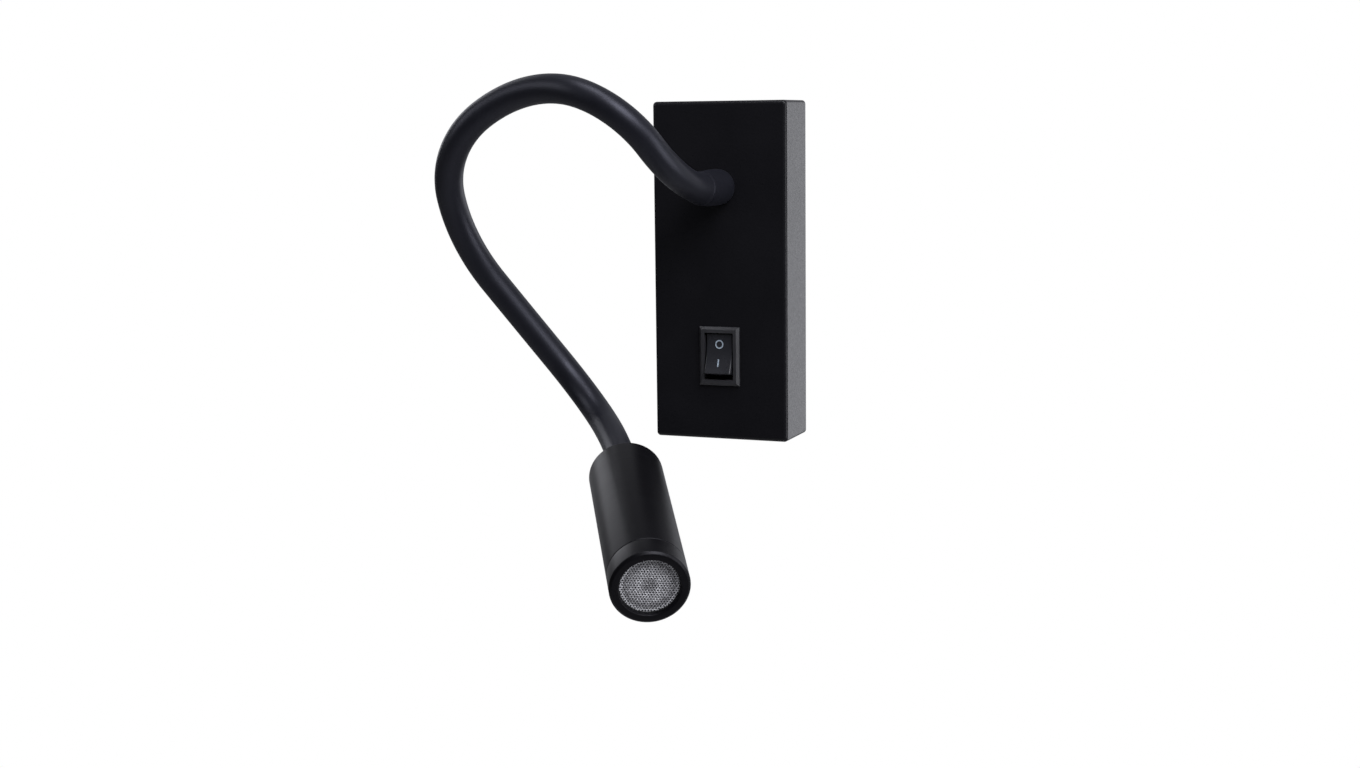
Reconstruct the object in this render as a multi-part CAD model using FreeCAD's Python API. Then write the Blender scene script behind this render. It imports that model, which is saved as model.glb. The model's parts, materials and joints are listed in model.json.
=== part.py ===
"""Bedside wall reading lamp: steel wall box with a rocker switch, a gooseneck and a spot head.

Millimetres. The origin is the middle of the wall face, X to the right, Z up and -Y into the room.
"""
import FreeCAD, Part
import math
import os
from FreeCAD import Placement, Rotation, Vector

os.makedirs("parts", exist_ok=True)

# ---------------------------------------------------------------- driving dimensions
# Wall box: a folded steel cover over a steel wall plate
box_width = 50.0
box_height = 120.0
box_depth = 22.0
cover_wall = 1.2
cover_edge = 1.4            # outside radius of every bend of the cover
plate_thickness = 1.5
plate_play = 0.3            # between the plate's rim and the inside of the cover
wall_slot_edge = 10.0       # from the box's end to the middle of a wall slot
wall_slot_width = 5.0
wall_slot_length = 9.0
tab_width = 16.0
tab_depth = 12.0            # how far the plate's end tabs stand into the room
tab_corner = 3.0
small_sides = 12            # flats that stand for a round on small hidden pieces
inner_sides = 36            # and on the larger pieces inside the head
neck_share = 0.25           # the neck leaves the front this share of the height above the middle
switch_share = 0.25         # and the switch sits this share below it

# Screws, all with the same play in their threaded holes
thread_play = 0.05
m3 = 3.0
m4 = 4.0
csk_head = 5.6              # countersunk head that closes the cover
csk_height = 1.15
cover_screw_length = 6.0
cover_screw_inset = 6.5     # from the wall to the screw's axis
pan_head = 5.6
pan_height = 2.0
earth_head = 7.0
earth_height = 2.6

# Cable entry and earth tag, side by side at the top of the plate
entry_from_end = 14.0       # from the box's top end to their middle
entry_from_side = 10.0      # and from its sides
grommet_hole = 10.0
grommet_flange = 13.6
grommet_flange_thickness = 1.6
grommet_bore = 7.0
grommet_play = 0.1
tag_thickness = 0.8
tag_ring = 9.0
tag_tail_length = 9.0
tag_tail_width = 4.8

# Driver: moulded case on the plate between the neck's nut and the switch
driver_side_play = 0.3      # between its ears and the inside of the cover
driver_height = 31.0
driver_depth = 14.0
driver_middle = 4.0         # height of its middle
driver_wall = 1.5
driver_corner = 2.0
driver_lid_thickness = 1.4
driver_fit = 0.15           # lid and board inside the case
driver_ear = 6.0
driver_ear_thickness = 2.2
board_thickness = 1.6
board_post = 1.6            # height of the lid's posts under the board
board_post_diameter = 3.0
board_post_inset = 4.0
transformer_width = 15.0
transformer_height = 13.0
transformer_depth = 7.0
transformer_window = 3.0
capacitor_diameter = 6.3
capacitor_height = 6.6

# Terminal block: two brass tubes in a moulded strip at the bottom of the plate
terminal_pitch = 8.0
terminal_poles = 2
terminal_length = 13.0
terminal_depth = 12.0
terminal_from_side = 3.0    # from the box's right side to the strip
terminal_from_end = 10.5    # from the box's bottom end to the strip's middle
tube_outside = 5.0
tube_inside = 3.4
terminal_screw = 2.6
terminal_screw_reach = 0.6  # how far the screw's point enters the tube
terminal_well = 3.8

# Rocker switch for a 19 x 13 cut-out
cutout_height = 19.0
cutout_width = 13.0
cutout_play = 0.2
bezel_height = 21.0
bezel_width = 15.0
bezel_rise = 1.6
bezel_slope = 0.9
barrel_depth = 12.0
barrel_wall = 0.9
barrel_floor = 1.2
latch_reach = 0.45
latch_length = 5.0
latch_width = 4.0
rocker_play = 0.3           # each side of the rocker
rocker_height = 14.4
rocker_crown = 5.2          # pivot to the ends of the rocker's face
rocker_dish = 1.0           # how much lower the face is in its middle
rocker_skirt = 0.8          # pivot to the lower end corners
rocker_hub = 1.5            # pivot to the flat underside
rocker_pivot_depth = 3.0    # behind the front of the cover
rocker_swing = 24.0         # degrees from off to on
trunnion_diameter = 2.4
trunnion_play = 0.05
plunger_diameter = 2.4
plunger_reach = 5.3         # pivot to the plunger's tip
plunger_bore_play = 0.1
plunger_boss = 4.6
plunger_boss_length = 3.2
spring_wire = 0.4
spring_length = 2.2
lever_length = 11.0
lever_width = 3.4
lever_thickness = 0.8
lever_ridge = 0.5           # radius of the ridge that the lever rocks on
lever_gap = 0.15            # under the plunger when the rocker is level
lever_swing = 16.0          # degrees, the other way from the rocker
blade_width = 4.8
blade_thickness = 0.8
blade_length = 6.0
blade_pitch = 7.0
contact_thickness = 0.6
blade_play = 0.05

# Neck: bent steel core in a soft sleeve, seated in a turned ferrule
neck_straight = 14.0        # from the cover's front to the first bend
neck_pitch = 36.0           # length of each bend
# Bend in degrees and the way it turns: 0 is sideways, 90 is up, carried along the neck
neck_bends = ((58.5, 117), (69.5, 173.5), (45.5, -126.5), (57.5, 175),
              (37.5, -153.5), (6, -115), (63.5, -108.5), (10, -62.5))
# Which way each pivot turns: with the next bend, or across it
pivot_turns = ("across", "with", "across", "with", "across", "with", "across", "with")
bend_step = 20.0            # most that one straight stretch of the neck turns
sleeve_diameter = 10.0
sleeve_sides = 16           # flats that stand for the round sleeve
core_diameter = 7.6
core_sides = 8              # and for the wound core in it
neck_overshoot = 1.0        # each length is made this much too long, then cut to shape
knuckle_radius = 6.0        # rounded end of each length of neck, about its pivot
knuckle_gap = 0.3
ferrule_diameter = 12.7
ferrule_edge = 0.8
ferrule_socket = 9.0        # depth of the sleeve's seat
socket_play = 0.05
ferrule_stud = 10.0
ferrule_stud_length = 9.0
ferrule_bore = 5.0
stud_play = 0.15
washer_diameter = 16.0
washer_thickness = 1.0
nut_across_flats = 14.0
nut_thickness = 4.0

# Spot head, all measured along its axis from its rear face
head_diameter = 25.0
head_length = 73.5
head_rear_edge = 1.0
head_rear_wall = 4.0
head_seat_depth = 1.5       # recess in the rear wall for the neck's end fitting
head_stud = 8.0
head_stud_length = 9.5
head_stud_bore = 4.0
head_nut_across_flats = 13.0
head_nut_thickness = 3.5
head_rear_bore = 18.6
head_front_bore = 20.8
head_fit = 0.1              # what slides in the front bore, on the diameter
ring_length = 8.5
ring_thread = 22.8
ring_thread_length = 4.6
ring_play = 0.1
ring_lip = 1.3
ring_edge = 0.8
window_diameter = 18.4
gasket_thickness = 0.4
lens_diameter = 20.0
lens_flange = 1.5
lens_height = 11.0
lens_cone_top = 18.4
lens_cone_bottom = 9.0
lens_recess_diameter = 5.2
lens_recess_depth = 3.4
holder_wall = 0.85
led_board_thickness = 1.6
led_board_side = 3.5
led_base = 0.9
led_dome = 2.6
led_dome_height = 1.1
led_gap = 0.3               # the LED's base to the underside of the lens
heat_sink_length = 9.0
board_screw_circle = 7.2
board_screw = 2.0
board_screw_head = 3.6
board_screw_head_height = 1.4
board_screw_length = 6.0

# ---------------------------------------------------------------- worked out from them
cover_inside = -(box_depth - cover_wall)
plate_face = -plate_thickness
front = -box_depth
wall_slot_spacing = box_height - 2 * wall_slot_edge
neck_height = box_height * neck_share
switch_drop = box_height * switch_share
entry_height = box_height / 2 - entry_from_end
entry_offset = box_width / 2 - entry_from_side
driver_width = box_width - 2 * (cover_wall + driver_side_play + driver_ear)
terminal_offset = box_width / 2 - terminal_from_side - terminal_pitch * terminal_poles / 2
terminal_height = terminal_from_end - box_height / 2
into_room = Vector(0, -1, 0)
to_wall = Vector(0, 1, 0)
sideways = Vector(1, 0, 0)
upward = Vector(0, 0, 1)
plate_half_width = box_width / 2 - cover_wall - plate_play
plate_half_height = box_height / 2 - cover_wall - plate_play
driver_ear_x = driver_width / 2 + driver_ear / 2
switch_middle = Vector(0, front, -switch_drop)
pivot_y = front + rocker_pivot_depth
lever_face_y = pivot_y + plunger_reach + lever_gap
lever_pivot_y = lever_face_y + lever_thickness
barrel_back = front + barrel_depth
barrel_inside_floor = barrel_back - barrel_floor
cavity_width = cutout_width - 2 * cutout_play - 2 * barrel_wall
cavity_height = cutout_height - 2 * cutout_play - 2 * barrel_wall
ring_seam = head_length - ring_length
lens_top = head_length - ring_lip - gasket_thickness
lens_seat = lens_top - lens_flange
led_board_top = lens_top - lens_height - led_gap - led_base
led_board_back = led_board_top - led_board_thickness
heat_sink_back = led_board_back - heat_sink_length


# ---------------------------------------------------------------- helpers
def block(x0, x1, y0, y1, z0, z1):
    """Box between two corners."""
    return Part.makeBox(x1 - x0, y1 - y0, z1 - z0, Vector(x0, y0, z0))


def rod(radius, start, end):
    """Cylinder from one point to another."""
    return Part.makeCylinder(radius, (end - start).Length, start, end - start)


def cone(radius_start, radius_end, start, end):
    """Cone from one point to another."""
    return Part.makeCone(radius_start, radius_end, (end - start).Length, start, end - start)


def at(x, y, z):
    return Vector(x, y, z)


def ring_of_points(radius, sides):
    """Corners of a regular outline about local Z."""
    step = 2 * math.pi / sides
    return [Vector(radius * math.cos(step * i), radius * math.sin(step * i), 0) for i in range(sides)]


def faceted(radius, start, end, sides=small_sides):
    """Bar with flat sides from one point to another, for rounds that are small and hidden."""
    turn = Placement(start, Rotation(upward, end - start))
    corners = [turn.multVec(corner) for corner in ring_of_points(radius, sides)]
    return Part.Face(Part.makePolygon(corners + corners[:1])).extrude(end - start)


def slot_along_z(width, length, x, z, y0, y1):
    """Cutter for an upright slot with round ends, through y0 to y1."""
    radius = width / 2
    half = length / 2 - radius
    body = block(x - radius, x + radius, y0, y1, z - half, z + half)
    ends = [rod(radius, at(x, y0, z + s * half), at(x, y1, z + s * half)) for s in (-1, 1)]
    return body.fuse(ends).removeSplitter()


def edges_along(shape, direction):
    """Straight edges that run along a direction."""
    found = []
    for edge in shape.Edges:
        if isinstance(edge.Curve, Part.Line) and abs(abs(edge.Curve.Direction.dot(direction)) - 1) < 1e-6:
            found.append(edge)
    return found


def turned_on_axis(profile):
    """Solid turned from (radius, height) points about local Z."""
    points = [Vector(r, 0, h) for r, h in profile]
    face = Part.Face(Part.makePolygon(points + points[:1]))
    return face.revolve(Vector(), upward, 360)


def hexagon_nut(across_flats, bore, thickness):
    """Nut along local Z, from 0 to its thickness."""
    corner = across_flats / math.sqrt(3)
    points = [Vector(corner * math.cos(math.radians(60 * i)), corner * math.sin(math.radians(60 * i)), 0)
              for i in range(7)]
    nut = Part.Face(Part.makePolygon(points)).extrude(upward * thickness)
    return nut.cut(Part.makeCylinder(bore / 2, thickness))


def placed(shape, placement):
    moved = shape.copy()
    moved.Placement = placement.multiply(moved.Placement)
    return moved


def save(name, *solids):
    """Write one node; several solids stay separate in it."""
    shape = solids[0] if len(solids) == 1 else Part.makeCompound(list(solids))
    shape.exportStep("parts/" + name + ".step")


# ---------------------------------------------------------------- wall box
def cover_screw_axes():
    """Outer point and inward direction of the two screws that close the cover."""
    y = -cover_screw_inset
    return [(at(0, y, s * box_height / 2), Vector(0, 0, -s)) for s in (1, -1)]


def housing_cover():
    half_width = box_width / 2
    half_height = box_height / 2
    shell = block(-half_width, half_width, front, 0, -half_height, half_height)
    rim = [e for e in shell.Edges if max(v.Point.y for v in e.Vertexes) < -0.01]
    shell = shell.makeFillet(cover_edge, rim + edges_along(shell, to_wall))
    inside_width = half_width - cover_wall
    inside_height = half_height - cover_wall
    shell = shell.cut(block(-inside_width, inside_width, cover_inside, 1, -inside_height, inside_height))
    neck_hole = rod(ferrule_stud / 2 + stud_play, at(0, front - 1, neck_height), at(0, 0, neck_height))
    switch_hole = block(-cutout_width / 2, cutout_width / 2, front - 1, 0,
                        -switch_drop - cutout_height / 2, -switch_drop + cutout_height / 2)
    cutters = [neck_hole, switch_hole]
    for outer, inward in cover_screw_axes():
        cutters.append(faceted(m3 / 2 + thread_play, outer, outer + inward * 2 * cover_wall))
        cutters.append(cone(csk_head / 2 + thread_play, m3 / 2 + thread_play,
                            outer, outer + inward * csk_height))
    return shell.cut(cutters)


def cover_screws():
    screws = []
    for outer, inward in cover_screw_axes():
        head = cone(csk_head / 2, m3 / 2, outer, outer + inward * csk_height)
        shank = faceted(m3 / 2, outer + inward * csk_height, outer + inward * cover_screw_length)
        screws.append(head.fuse(shank))
    return screws


def wall_plate():
    plate = block(-plate_half_width, plate_half_width, plate_face, 0, -plate_half_height, plate_half_height)
    for side in (-1, 1):
        outer = side * plate_half_height
        inner = outer - side * plate_thickness
        tab = block(-tab_width / 2, tab_width / 2, -tab_depth, 0, min(outer, inner), max(outer, inner))
        tips = [e for e in edges_along(tab, upward) if e.Vertexes[0].Point.y < -tab_depth / 2]
        plate = plate.fuse(tab.makeChamfer(tab_corner, tips))
    plate = plate.removeSplitter()
    cutters = []
    for side in (-1, 1):
        cutters.append(slot_along_z(wall_slot_width, wall_slot_length, 0, side * wall_slot_spacing / 2,
                                    plate_face - 1, 1))
        cutters.append(faceted(m3 / 2 + thread_play, at(side * driver_ear_x, plate_face - 1, driver_middle),
                               at(side * driver_ear_x, 1, driver_middle)))
    cutters.append(rod(grommet_hole / 2, at(-entry_offset, plate_face - 1, entry_height),
                       at(-entry_offset, 1, entry_height)))
    cutters.append(faceted(m4 / 2 + thread_play, at(entry_offset, plate_face - 1, entry_height),
                           at(entry_offset, 1, entry_height)))
    for outer, inward in cover_screw_axes():
        cutters.append(faceted(m3 / 2 + thread_play, outer, outer + inward * 2 * cover_screw_length))
    return plate.cut(cutters)


def cable_grommet():
    middle = at(-entry_offset, 0, entry_height)
    flange_face = plate_face - grommet_flange_thickness
    seat = middle + to_wall * plate_face
    barrel = faceted(grommet_hole / 2 - grommet_play, middle, seat, inner_sides)
    flange = faceted(grommet_flange / 2, seat, middle + to_wall * flange_face, inner_sides)
    bore = rod(grommet_bore / 2, middle + to_wall, middle + to_wall * (flange_face - 1))
    return barrel.fuse(flange).cut(bore)


def earth_tag():
    middle = at(entry_offset, 0, entry_height)
    seat = middle + to_wall * plate_face
    face = middle + to_wall * (plate_face - tag_thickness)
    ring = rod(tag_ring / 2, seat, face)
    tail = block(entry_offset - tag_tail_width / 2, entry_offset + tag_tail_width / 2,
                 plate_face - tag_thickness, plate_face,
                 entry_height - tag_ring / 2 - tag_tail_length, entry_height)
    crimp_foot = entry_height - tag_ring / 2 - tag_tail_length
    crimp = block(entry_offset - tag_tail_width / 2, entry_offset + tag_tail_width / 2,
                  plate_face - tag_tail_width / 2 - tag_thickness, plate_face,
                  crimp_foot, crimp_foot + tag_tail_length / 2)
    wire_seat = faceted(tag_tail_width / 2 - tag_thickness,
                        at(entry_offset, plate_face - tag_tail_width / 2, crimp_foot - 1),
                        at(entry_offset, plate_face - tag_tail_width / 2, crimp_foot + tag_tail_length / 2))
    hole = faceted(m4 / 2 + thread_play, middle, middle + into_room * earth_head)
    return ring.fuse([tail, crimp]).cut([wire_seat, hole])


def earth_screw():
    middle = at(entry_offset, 0, entry_height)
    seat = middle + to_wall * (plate_face - tag_thickness)
    return faceted(m4 / 2, middle, seat).fuse(faceted(earth_head / 2, seat, seat + into_room * earth_height))


# ---------------------------------------------------------------- driver
def driver_case():
    half_width = driver_width / 2
    low = driver_middle - driver_height / 2
    high = driver_middle + driver_height / 2
    back = plate_face - driver_depth
    case = block(-half_width, half_width, back, plate_face, low, high)
    case = case.makeChamfer(driver_corner, edges_along(case, to_wall))
    case = case.cut(block(-half_width + driver_wall, half_width - driver_wall, back + driver_wall,
                          plate_face + 1, low + driver_wall, high - driver_wall))
    for side in (-1, 1):
        x = side * driver_ear_x
        edge = side * (half_width - driver_wall / 2)
        ear = block(min(edge, x), max(edge, x), plate_face - driver_ear_thickness, plate_face,
                    driver_middle - driver_ear / 2, driver_middle + driver_ear / 2)
        ear = ear.fuse(faceted(driver_ear / 2, at(x, plate_face, driver_middle),
                               at(x, plate_face - driver_ear_thickness, driver_middle)))
        hole = faceted(m3 / 2 + thread_play, at(x, 0, driver_middle), at(x, -driver_depth, driver_middle))
        case = case.fuse(ear.cut(hole))
    return case.removeSplitter()


def driver_screws():
    screws = []
    for side in (-1, 1):
        foot = at(side * driver_ear_x, 0, driver_middle)
        seat = foot + to_wall * (plate_face - driver_ear_thickness)
        head = faceted(pan_head / 2, seat, seat + into_room * pan_height)
        screws.append(faceted(m3 / 2, foot, seat).fuse(head))
    return screws


def driver_board_span():
    """Half width, lowest and highest edge of what lies inside the case."""
    inset = driver_wall + driver_fit
    half_width = driver_width / 2 - inset
    return half_width, driver_middle - driver_height / 2 + inset, driver_middle + driver_height / 2 - inset


def driver_lid():
    half_width, low, high = driver_board_span()
    face = plate_face - driver_lid_thickness
    lid = block(-half_width, half_width, face, plate_face, low, high)
    posts = []
    for x in (-half_width + board_post_inset, half_width - board_post_inset):
        for z in (low + board_post_inset, high - board_post_inset):
            posts.append(faceted(board_post_diameter / 2, at(x, face, z), at(x, face - board_post, z)))
    return lid.fuse(posts)


board_face = plate_face - driver_lid_thickness - board_post - board_thickness


def driver_board():
    half_width, low, high = driver_board_span()
    return block(-half_width, half_width, board_face, board_face + board_thickness, low, high)


def driver_transformer():
    half_width = driver_board_span()[0]
    x = half_width - transformer_width / 2 - driver_fit
    z = driver_middle
    core = block(x - transformer_width / 2, x + transformer_width / 2, board_face - transformer_depth,
                 board_face, z - transformer_height / 2, z + transformer_height / 2)
    legs = []
    for side in (-1, 1):
        leg = z + side * transformer_height / 4
        legs.append(block(x - transformer_width / 2 - 1, x + transformer_width / 2 + 1,
                          board_face - transformer_depth - 1, board_face - transformer_depth / 2,
                          leg - transformer_window / 2, leg + transformer_window / 2))
    return core.cut(legs)


def driver_capacitors():
    half_width = driver_board_span()[0]
    x = -half_width + capacitor_diameter
    cans = []
    for side in (-1, 1):
        foot = at(x, board_face, driver_middle + side * capacitor_diameter)
        cans.append(faceted(capacitor_diameter / 2, foot, foot + into_room * capacitor_height))
    return cans


# ---------------------------------------------------------------- terminal block
def terminal_poles_x():
    first = terminal_offset - terminal_pitch * (terminal_poles - 1) / 2
    return [first + i * terminal_pitch for i in range(terminal_poles)]


terminal_tube_y = plate_face - terminal_depth / 2


def terminal_screw_points():
    """Middle of each screw, two to a pole."""
    reach = terminal_length / 4
    return [at(x, terminal_tube_y, terminal_height + s * reach) for x in terminal_poles_x() for s in (-1, 1)]


def terminal_bar(x, across, low, high):
    """Upright square bar through one pole."""
    half = across / 2
    return block(x - half, x + half, terminal_tube_y - half, terminal_tube_y + half, low, high)


def terminal_block():
    half_length = terminal_length / 2
    poles = terminal_poles_x()
    low = terminal_height - half_length
    high = terminal_height + half_length
    body = block(poles[0] - terminal_pitch / 2, poles[-1] + terminal_pitch / 2,
                 plate_face - terminal_depth, plate_face, low, high)
    waist = tube_outside / 2 + cover_wall
    cutters = []
    for x in poles[:-1]:
        gap = x + terminal_pitch / 2
        cutters.append(block(gap - cover_wall / 2, gap + cover_wall / 2, plate_face - terminal_depth - 1,
                             terminal_tube_y - waist, low - 1, high + 1))
    for x in poles:
        cutters.append(terminal_bar(x, tube_outside + 2 * thread_play, low - 1, high + 1))
    for middle in terminal_screw_points():
        cutters.append(faceted(terminal_well / 2, middle, middle + into_room * terminal_depth))
    return body.cut(cutters)


def terminal_tubes():
    tubes = []
    for x in terminal_poles_x():
        low = terminal_height - terminal_length / 2 + cover_wall
        high = terminal_height + terminal_length / 2 - cover_wall
        bore = faceted(tube_inside / 2, at(x, terminal_tube_y, low), at(x, terminal_tube_y, high))
        tubes.append(terminal_bar(x, tube_outside, low, high).cut(bore))
    holes = [faceted(terminal_screw / 2 + thread_play, p, p + into_room * tube_outside)
             for p in terminal_screw_points()]
    return [tube.cut(holes) for tube in tubes]


def terminal_screws():
    start = tube_inside / 2 - terminal_screw_reach
    length = tube_outside / 2 - start + cover_wall
    return [faceted(terminal_screw / 2, p + into_room * start, p + into_room * (start + length))
            for p in terminal_screw_points()]


# ---------------------------------------------------------------- rocker switch
def switch_box(width, height, y0, y1):
    """Box centred on the switch."""
    return block(-width / 2, width / 2, y0, y1, -switch_drop - height / 2, -switch_drop + height / 2)


def blade_heights():
    """The common blade and the blade that the lever reaches when it is on."""
    return -switch_drop, -switch_drop + blade_pitch


def switch_body():
    flange = switch_box(bezel_width, bezel_height, front - bezel_rise, front)
    rim = [e for e in flange.Edges if max(v.Point.y for v in e.Vertexes) < front - bezel_rise / 2]
    flange = flange.makeChamfer(bezel_slope, rim)
    barrel = switch_box(cutout_width - 2 * cutout_play, cutout_height - 2 * cutout_play, front, barrel_back)
    latches = []
    for side in (-1, 1):
        foot = -switch_drop + side * (cutout_height / 2 - cutout_play)
        tip = foot + side * (cutout_play + latch_reach)
        start = cover_inside + cutout_play
        wedge = Part.makePolygon([at(-latch_width / 2, start, foot), at(-latch_width / 2, start, tip),
                                  at(-latch_width / 2, start + latch_length, foot),
                                  at(-latch_width / 2, start, foot)])
        latches.append(Part.Face(wedge).extrude(Vector(latch_width, 0, 0)))
    body = flange.fuse([barrel] + latches).removeSplitter()
    cavity = switch_box(cavity_width, cavity_height, front - bezel_rise - 1, barrel_inside_floor)
    pins = rod(trunnion_diameter / 2 + trunnion_play, at(-cutout_width, pivot_y, -switch_drop),
               at(cutout_width, pivot_y, -switch_drop))
    slots = []
    for z in blade_heights():
        slots.append(block(-blade_width / 2 - blade_play, blade_width / 2 + blade_play,
                           barrel_inside_floor - 1, barrel_back + 1,
                           z - blade_thickness / 2 - blade_play, z + blade_thickness / 2 + blade_play))
    return body.cut([cavity, pins] + slots)


def as_at_rest(shape):
    """The rocker and what it carries are drawn level, then tipped to the off side."""
    tipped = shape.copy()
    tipped.rotate(at(0, pivot_y, -switch_drop), sideways, -rocker_swing / 2)
    return tipped


def rocker():
    half = rocker_height / 2
    width = cavity_width - 2 * rocker_play

    def point(z, outward):
        return at(-width / 2, pivot_y - outward, -switch_drop + z)

    face_line = Part.Arc(point(half, rocker_crown), point(0, rocker_crown - rocker_dish),
                         point(-half, rocker_crown)).toShape()
    outline = Part.makePolygon([point(-half, rocker_crown), point(-half - rocker_play, rocker_skirt),
                                point(-plunger_boss, -rocker_hub), point(plunger_boss, -rocker_hub),
                                point(half + rocker_play, rocker_skirt), point(half, rocker_crown)])
    body = Part.Face(Part.Wire([face_line] + outline.Edges)).extrude(Vector(width, 0, 0))
    middle = at(0, pivot_y, -switch_drop)
    boss = faceted(plunger_boss / 2, middle, middle + to_wall * plunger_boss_length)
    pins = rod(trunnion_diameter / 2, middle - sideways * (cutout_width / 2 - cutout_play),
               middle + sideways * (cutout_width / 2 - cutout_play))
    bore = faceted(plunger_diameter / 2 + plunger_bore_play, middle - to_wall * rocker_hub,
                   middle + to_wall * plunger_reach)
    return as_at_rest(body.fuse([boss, pins]).cut(bore))


def plunger_top():
    """Where the spring ends and the plunger starts, behind the pivot."""
    return spring_length - rocker_hub


def switch_spring():
    start = at(0, pivot_y - rocker_hub, -switch_drop)
    end = start + to_wall * spring_length
    outside = faceted(plunger_diameter / 2, start, end)
    return as_at_rest(outside.cut(faceted(plunger_diameter / 2 - spring_wire, start, end)))


def switch_plunger():
    start = at(0, pivot_y + plunger_top(), -switch_drop)
    shoulder = at(0, pivot_y + plunger_reach - plunger_diameter / 2, -switch_drop)
    tip = at(0, pivot_y + plunger_reach, -switch_drop)
    return as_at_rest(faceted(plunger_diameter / 2, start, shoulder).fuse(
        faceted(plunger_diameter / 4, shoulder, tip)))


def contact_lever():
    bar = switch_box(lever_width, lever_length, lever_face_y, lever_pivot_y)
    bar = bar.makeChamfer(lever_thickness, edges_along(bar, to_wall))
    ridge_middle = at(0, lever_pivot_y, -switch_drop)
    half = sideways * (lever_width / 2)
    bar = bar.fuse(rod(lever_ridge, ridge_middle - half, ridge_middle + half))
    bar.rotate(ridge_middle, sideways, lever_swing / 2)
    return bar


def switch_terminals():
    common, live = blade_heights()
    half = blade_width / 2
    seat = lever_pivot_y + lever_ridge
    saddle = block(-half, half, seat, barrel_inside_floor,
                   common - blade_thickness / 2, common + blade_thickness / 2)
    parts = []
    for z in (common, live):
        blade = block(-half, half, barrel_inside_floor - contact_thickness, barrel_back + blade_length,
                      z - blade_thickness / 2, z + blade_thickness / 2)
        eye = faceted(blade_thickness, at(0, barrel_back + blade_length / 2, z - blade_thickness),
                      at(0, barrel_back + blade_length / 2, z + blade_thickness))
        parts.append(blade.cut(eye))
    pad = block(-half, half, barrel_inside_floor - contact_thickness, barrel_inside_floor,
                live - blade_thickness / 2 - lever_width, live - blade_thickness / 2)
    return [parts[0].fuse(saddle), parts[1].fuse(pad)]


# ---------------------------------------------------------------- the neck's route
def along_bend(start, bend, turn, share):
    """Frame at a share of one bend: local Z runs along the neck."""
    radius = neck_pitch / math.radians(bend)
    angle = math.radians(bend * share)
    side = Vector(math.cos(math.radians(turn)), math.sin(math.radians(turn)), 0)
    step = upward * (radius * math.sin(angle)) + side * (radius * (1 - math.cos(angle)))
    axis = upward.cross(side)
    return start.multiply(Placement(step, Rotation(axis, bend * share)))


def neck_frames():
    """Frame at the start of each bend, which is its pivot, and at the end of the last one."""
    frames = [Placement(at(0, front - neck_straight, neck_height), Rotation(sideways, 90))]
    for bend, turn in neck_bends:
        frames.append(along_bend(frames[-1], bend, turn, 1))
    return frames


def bend_corners(start, bend, turn):
    """Corners of the straight stretches that touch one bend's arc from outside."""
    stretches = math.ceil(bend / bend_step)
    half_step = math.radians(bend / stretches) / 2
    outward = neck_pitch / math.radians(bend) * (1 / math.cos(half_step) - 1)
    side = Vector(math.cos(math.radians(turn)), math.sin(math.radians(turn)), 0)
    middles = [along_bend(start, bend, turn, (i + 0.5) / stretches) for i in range(stretches)]
    return [middle.multVec(side * -outward) for middle in middles]


def pivot_axes():
    """Middle and direction of each pivot of the neck."""
    axes = []
    for (bend, turn), way, frame in zip(neck_bends, pivot_turns, neck_frames()):
        angle = math.radians(turn + (90 if way == "with" else 0))
        local = Vector(math.cos(angle), math.sin(angle), 0)
        axes.append((frame.Base, frame.Rotation.multVec(local)))
    return axes


def neck_rod(points, radius, sides):
    """Bar with flat sides along straight stretches with mitred corners."""
    turn = Placement(points[0], Rotation(upward, points[1] - points[0]))
    ring = [turn.multVec(corner) for corner in ring_of_points(radius, sides)]
    profile = Part.makePolygon(ring + ring[:1])
    return Part.makePolygon(points).makePipeShell([profile], True, False, 1)


def knuckle(pivot, radius):
    """Cylinder about a pivot that rounds or hollows the end of a length of neck."""
    middle, direction = pivot
    reach = direction * sleeve_diameter
    return rod(radius, middle - reach, middle + reach)


def beyond(frame):
    """Everything near the neck past this frame."""
    size = 2 * sleeve_diameter
    return placed(Part.makeBox(size, size, size, Vector(-size / 2, -size / 2, 0)), frame)


def neck_lengths():
    """Points of each length of neck, from the ferrule's socket to past the head's rear face."""
    frames = neck_frames()
    past = upward * (knuckle_radius + neck_overshoot)
    seat = at(0, front - neck_straight + ferrule_socket, neck_height)
    lengths = [[seat, frames[0].multVec(past)]]
    for (bend, turn), start, end in zip(neck_bends, frames[:-1], frames[1:]):
        lengths.append([start.Base] + bend_corners(start, bend, turn) + [end.multVec(past)])
    return lengths


def neck_pieces():
    """Sleeve and core of each length of neck."""
    frames = neck_frames()
    pivots = pivot_axes()
    pieces = []
    for i, points in enumerate(neck_lengths()):
        ending = beyond(frames[i])
        if i < len(pivots):
            ending = ending.cut(knuckle(pivots[i], knuckle_radius))
        cutters = [ending]
        if i > 0:
            cutters.append(knuckle(pivots[i - 1], knuckle_radius + knuckle_gap))
        core = neck_rod(points, core_diameter / 2, core_sides)
        sleeve = neck_rod(points, sleeve_diameter / 2, sleeve_sides).cut(core)
        pieces.append((sleeve.cut(cutters), core.cut(cutters)))
    return pieces


# ---------------------------------------------------------------- end fitting at the box
def neck_axis_point(y):
    return at(0, y, neck_height)


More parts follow.
